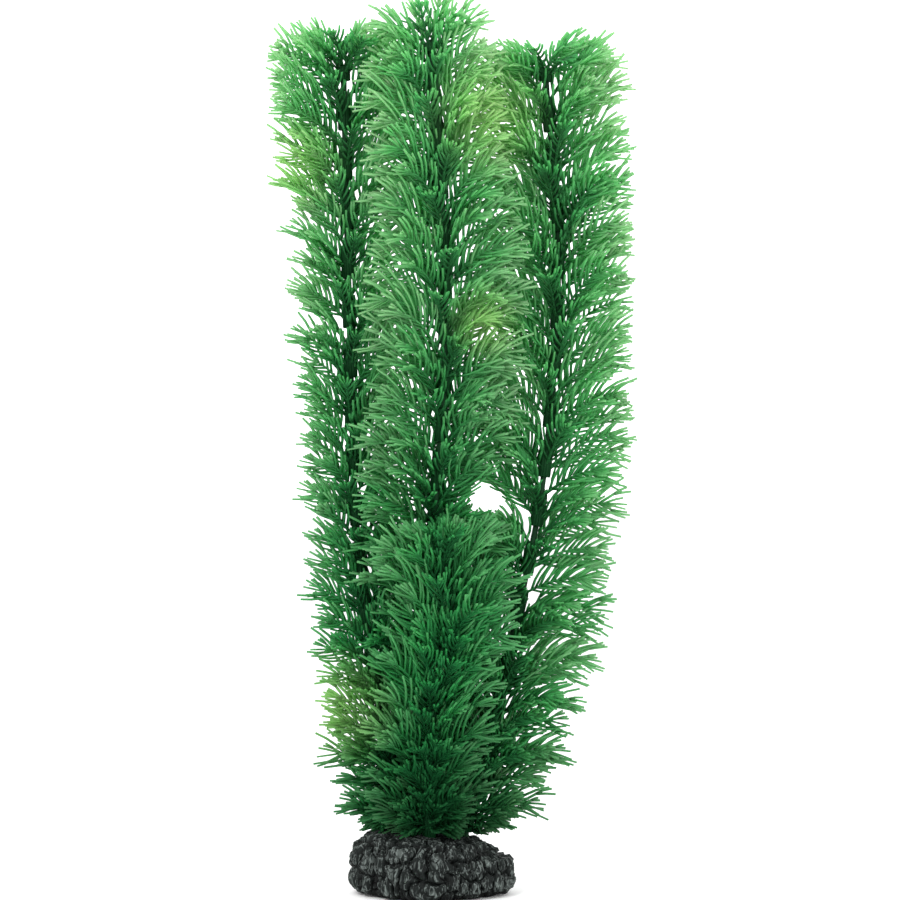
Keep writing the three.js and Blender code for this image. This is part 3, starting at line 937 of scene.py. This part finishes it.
def shade_and_sleeve_darkness(nodes, outward, place):
    """How dark a place is: painted shade at the foot and further in, and the sleeve's own dark colour; the
    largest of these.
    """
    foot = nodes.remap(place.outputs["Z"], FOOT_FROM, SHADED_BELOW, FOOT_PAINTED_SHADE, 0)
    aside = nodes.math("ABSOLUTE", nodes.math("SUBTRACT", place.outputs["X"], FOOT_MIDDLE))
    foot = nodes.math("MULTIPLY", foot, nodes.remap(aside, *FOOT_ASIDE, 1, ASIDE_SHARE))
    inner = nodes.remap(outward, *INNER_RANGE, INNER_PAINTED_SHADE, 0)
    sleeve = nodes.remap(nodes.attribute("reach"), SLEEVE_REACH, 0, SLEEVE_DARK, 0)
    return nodes.math("MAXIMUM", nodes.math("MAXIMUM", foot, inner), sleeve)


def frond_material(side):
    nodes = Nodes(f"frond_plastic_{side}")
    outward = how_far_out(nodes)
    place = nodes.make("ShaderNodeSeparateXYZ")
    nodes.link(nodes.place(), place.inputs["Vector"])
    # Painted shade low on the plant gives way to painted light at its top
    low, top = (greens_at(nodes, outward, greens) for greens in (SHADED_LOW_GREENS, LIT_TOP_GREENS))
    green = nodes.blend(nodes.remap(place.outputs["Z"], PAINTED_SHADE_ENDS[side], PAINTED_LIGHT_FULL), low, top)
    # Patches of painted light
    green = with_painted_light_patches(nodes, green, place)
    # Painted shade at the foot and further in, and the sleeves' own dark colour
    green = nodes.blend(shade_and_sleeve_darkness(nodes, outward, place), green, SHADE_AND_SLEEVE_GREEN)
    shader = nodes.shader
    nodes.link(green, shader.inputs["Base Color"])
    shader.inputs["Roughness"].default_value = FROND_ROUGHNESS
    shader.inputs["Specular IOR Level"].default_value = FROND_GLOSS
    glow = nodes.make("ShaderNodeBsdfTranslucent")
    nodes.link(green, glow.inputs["Color"])
    mix = nodes.make("ShaderNodeMixShader")
    mix.inputs["Fac"].default_value = SHINE_THROUGH
    nodes.link(shader.outputs["BSDF"], mix.inputs[1])
    nodes.link(glow.outputs["BSDF"], mix.inputs[2])
    nodes.link(mix.outputs["Shader"], nodes.output.inputs["Surface"])
    return nodes.material


STEM_GREENS = ((0.004, 0.025, 0.009), (0.01, 0.06, 0.02))
STEM_CLOUD_SCALE = 160
STEM_ROUGHNESS = 0.6
STEM_GLOSS = 0.15
STEM_GRAIN_SCALE = 700
STEM_GRAIN_STRENGTH = 0.3
STEM_GRAIN_DEPTH = 0.2 * MM


def stem_material():
    nodes = Nodes("stem_plastic")
    green = nodes.blend(nodes.noise(STEM_CLOUD_SCALE), *STEM_GREENS)
    nodes.link(green, nodes.shader.inputs["Base Color"])
    nodes.shader.inputs["Roughness"].default_value = STEM_ROUGHNESS
    nodes.shader.inputs["Specular IOR Level"].default_value = STEM_GLOSS
    nodes.bump(nodes.noise(STEM_GRAIN_SCALE), STEM_GRAIN_STRENGTH, STEM_GRAIN_DEPTH)
    return nodes.material


# Shares of the lumps of each size in how high up on the crests a place is
CREST_SHARES = {"large": 0.4, "middle": 0.3, "small": 0.3}
# Brush strokes: thin lines where a tall noise crosses its middle
STROKES = {"scale": 520, "detail": 2, "roughness": 0.5, "tallness": 3.5}
STROKE_HALF_WIDTH = 0.05
STROKE_PAINT = (0.3, -0.1)  # more paint on a stroke, less beside it
PAINT_CLOUDS = {"scale": 90, "detail": 2}
PAINT_CLOUD_RANGE = (0.3, 0.7)
PAINT_CLOUD_SIZE = 0.12
# Painted shade: the clefts between the lumps are painted near black, going over into the resin's colour up
# the lumps
CLEFT_PAINTED_SHADE = (0.0005, 0.0008, 0.0007)
RESIN_COLOUR = (0.011, 0.0145, 0.0135)
PAINT_COLOUR = (0.15, 0.175, 0.165)
RESIN_RANGE = (0.3, 0.85)
PAINT_RANGE = (0.7, 1.15)
DULL_RANGE = (0.4, 1.1)
DULLNESS = (0.5, 0.85)
ROCK_GLOSS = 0.12
ROCK_GRAIN = {"scale": 900, "detail": 4}
ROCK_GRAIN_STRENGTH = 0.4
ROCK_GRAIN_DEPTH = 0.3 * MM


def rock_material():
    nodes = Nodes("rock_resin")
    large, middle, small = (
        nodes.math("MULTIPLY", nodes.attribute(name), share) for name, share in CREST_SHARES.items()
    )
    crest = nodes.math("ADD", nodes.math("ADD", large, middle), small)
    wander = nodes.math("ABSOLUTE", nodes.math("SUBTRACT", nodes.noise(**STROKES), 0.5))
    brushed = nodes.math("ADD", crest, nodes.remap(wander, 0, STROKE_HALF_WIDTH, *STROKE_PAINT))
    clouds = nodes.remap(
        nodes.noise(**PAINT_CLOUDS), *PAINT_CLOUD_RANGE, -PAINT_CLOUD_SIZE, PAINT_CLOUD_SIZE
    )
    brushed = nodes.math("ADD", brushed, clouds)
    # Painted shade in the clefts
    body = nodes.blend(nodes.remap(crest, *RESIN_RANGE), CLEFT_PAINTED_SHADE, RESIN_COLOUR)
    paint = nodes.blend(nodes.remap(brushed, *PAINT_RANGE), body, PAINT_COLOUR)
    nodes.shader.inputs["Specular IOR Level"].default_value = ROCK_GLOSS
    nodes.link(paint, nodes.shader.inputs["Base Color"])
    nodes.link(nodes.remap(brushed, *DULL_RANGE, *DULLNESS), nodes.shader.inputs["Roughness"])
    nodes.bump(nodes.noise(**ROCK_GRAIN), ROCK_GRAIN_STRENGTH, ROCK_GRAIN_DEPTH)
    return nodes.material


def plain_material(name, colour, roughness):
    nodes = Nodes(name)
    nodes.shader.inputs["Base Color"].default_value = (*colour, 1)
    nodes.shader.inputs["Roughness"].default_value = roughness
    return nodes.material


# Studio

FRONT_LIGHT = 0.65
BACK_LIGHT = 1.7
LIGHT_CHANGE = (-0.7, 0.3)  # Y of the directions between which the world's light goes over
LIGHT_AIM = (0, 0, 0.17)
# Place, diameter and power
LIGHTS = {"key": ((-0.6, -0.9, 1.1), 0.7, 10), "fill": ((0.8, -1.1, 0.5), 1.2, 8)}
FLOOR_RADIUS = 6
FLOOR_SIDES = 96
FLOOR_COLOUR = (0.95, 0.95, 0.95)
FLOOR_ROUGHNESS = 0.9


def add_camera():
    data = bpy.data.cameras.new("camera")
    data.sensor_width = SENSOR
    data.lens = SENSOR * CAMERA_DISTANCE / (IMAGE_WIDTH * MM_PER_PIXEL * MM)
    data.clip_start = CLIP_START
    camera = bpy.data.objects.new("camera", data)
    camera.location = (CAMERA_X, -CAMERA_DISTANCE, CAMERA_HEIGHT)
    camera.rotation_euler = (math.pi / 2, 0, 0)
    bpy.context.scene.collection.objects.link(camera)
    bpy.context.scene.camera = camera


def add_floor():
    turns = np.linspace(0, 2 * math.pi, FLOOR_SIDES, endpoint=False)
    corners = [(FLOOR_RADIUS * math.cos(turn), FLOOR_RADIUS * math.sin(turn), 0) for turn in turns]
    mesh = bpy.data.meshes.new("floor")
    mesh.from_pydata(corners, [], [list(range(len(corners)))])
    mesh.materials.append(plain_material("floor_paper", FLOOR_COLOUR, FLOOR_ROUGHNESS))
    floor = bpy.data.objects.new("floor", mesh)
    bpy.context.scene.collection.objects.link(floor)


def add_light(name, place, size, power):
    data = bpy.data.lights.new(name, "AREA")
    data.shape = "DISK"
    data.size = size
    data.energy = power
    light = bpy.data.objects.new(name, data)
    light.location = place
    target = np.array(LIGHT_AIM) - np.array(place)
    light.rotation_euler = (
        math.atan2(math.hypot(target[0], target[1]), -target[2]),
        0,
        math.atan2(target[0], -target[1]) + math.pi,
    )
    bpy.context.scene.collection.objects.link(light)


def add_world():
    world = bpy.data.worlds.new("studio")
    world.use_nodes = True
    sky = world.node_tree.nodes["Background"]
    sky.inputs["Color"].default_value = (1, 1, 1, 1)
    nodes, links = world.node_tree.nodes, world.node_tree.links
    place = nodes.new("ShaderNodeTexCoord")
    parts = nodes.new("ShaderNodeSeparateXYZ")
    links.new(place.outputs["Generated"], parts.inputs["Vector"])
    strength = nodes.new("ShaderNodeMapRange")
    links.new(parts.outputs["Y"], strength.inputs["Value"])
    numbers = (*LIGHT_CHANGE, FRONT_LIGHT, BACK_LIGHT)
    for name, number in zip(("From Min", "From Max", "To Min", "To Max"), numbers):
        strength.inputs[name].default_value = number
    links.new(strength.outputs["Result"], sky.inputs["Strength"])
    bpy.context.scene.world = world


def build_studio():
    add_world()
    add_camera()
    add_floor()
    for name, (place, size, power) in LIGHTS.items():
        add_light(name, place, size, power)
    bpy.context.scene.view_settings.view_transform = "Standard"


def build_plume(side, rod_plastic, whorls_before):
    """A stem with its rod and whorls. Returns how many whorls there are up to its last."""
    line = stem_line(f"stem_{side}")
    build_rod(f"stem_{side}", line, rod_plastic)
    frond_plastic = frond_material(side)
    names = sorted(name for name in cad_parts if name.startswith(f"whorl_{side}_"))
    whorls = [read_whorl(name, line) for name in names]
    pitch = (whorls[-1][0] - whorls[0][0]) / (len(whorls) - 1)
    for index, (node, whorl) in enumerate(zip(names, whorls), whorls_before + 1):
        rows = ROWS
        spacing = 1
        if node == names[-1]:
            crown = CROWNS[side]
            rows = crown["rows"]
            spacing = crown["spacing"]
            whorl[3][:, 2] *= crown["rise"]
        build_whorl(node, line, whorl, pitch, ARCHES[side], rows, spacing, frond_plastic, index)
    return whorls_before + len(names)


build_studio()
rod_plastic = stem_material()
build_rock(rock_material())
whorls_so_far = 0
for side in ARCHES:
    whorls_so_far = build_plume(side, rod_plastic, whorls_so_far)
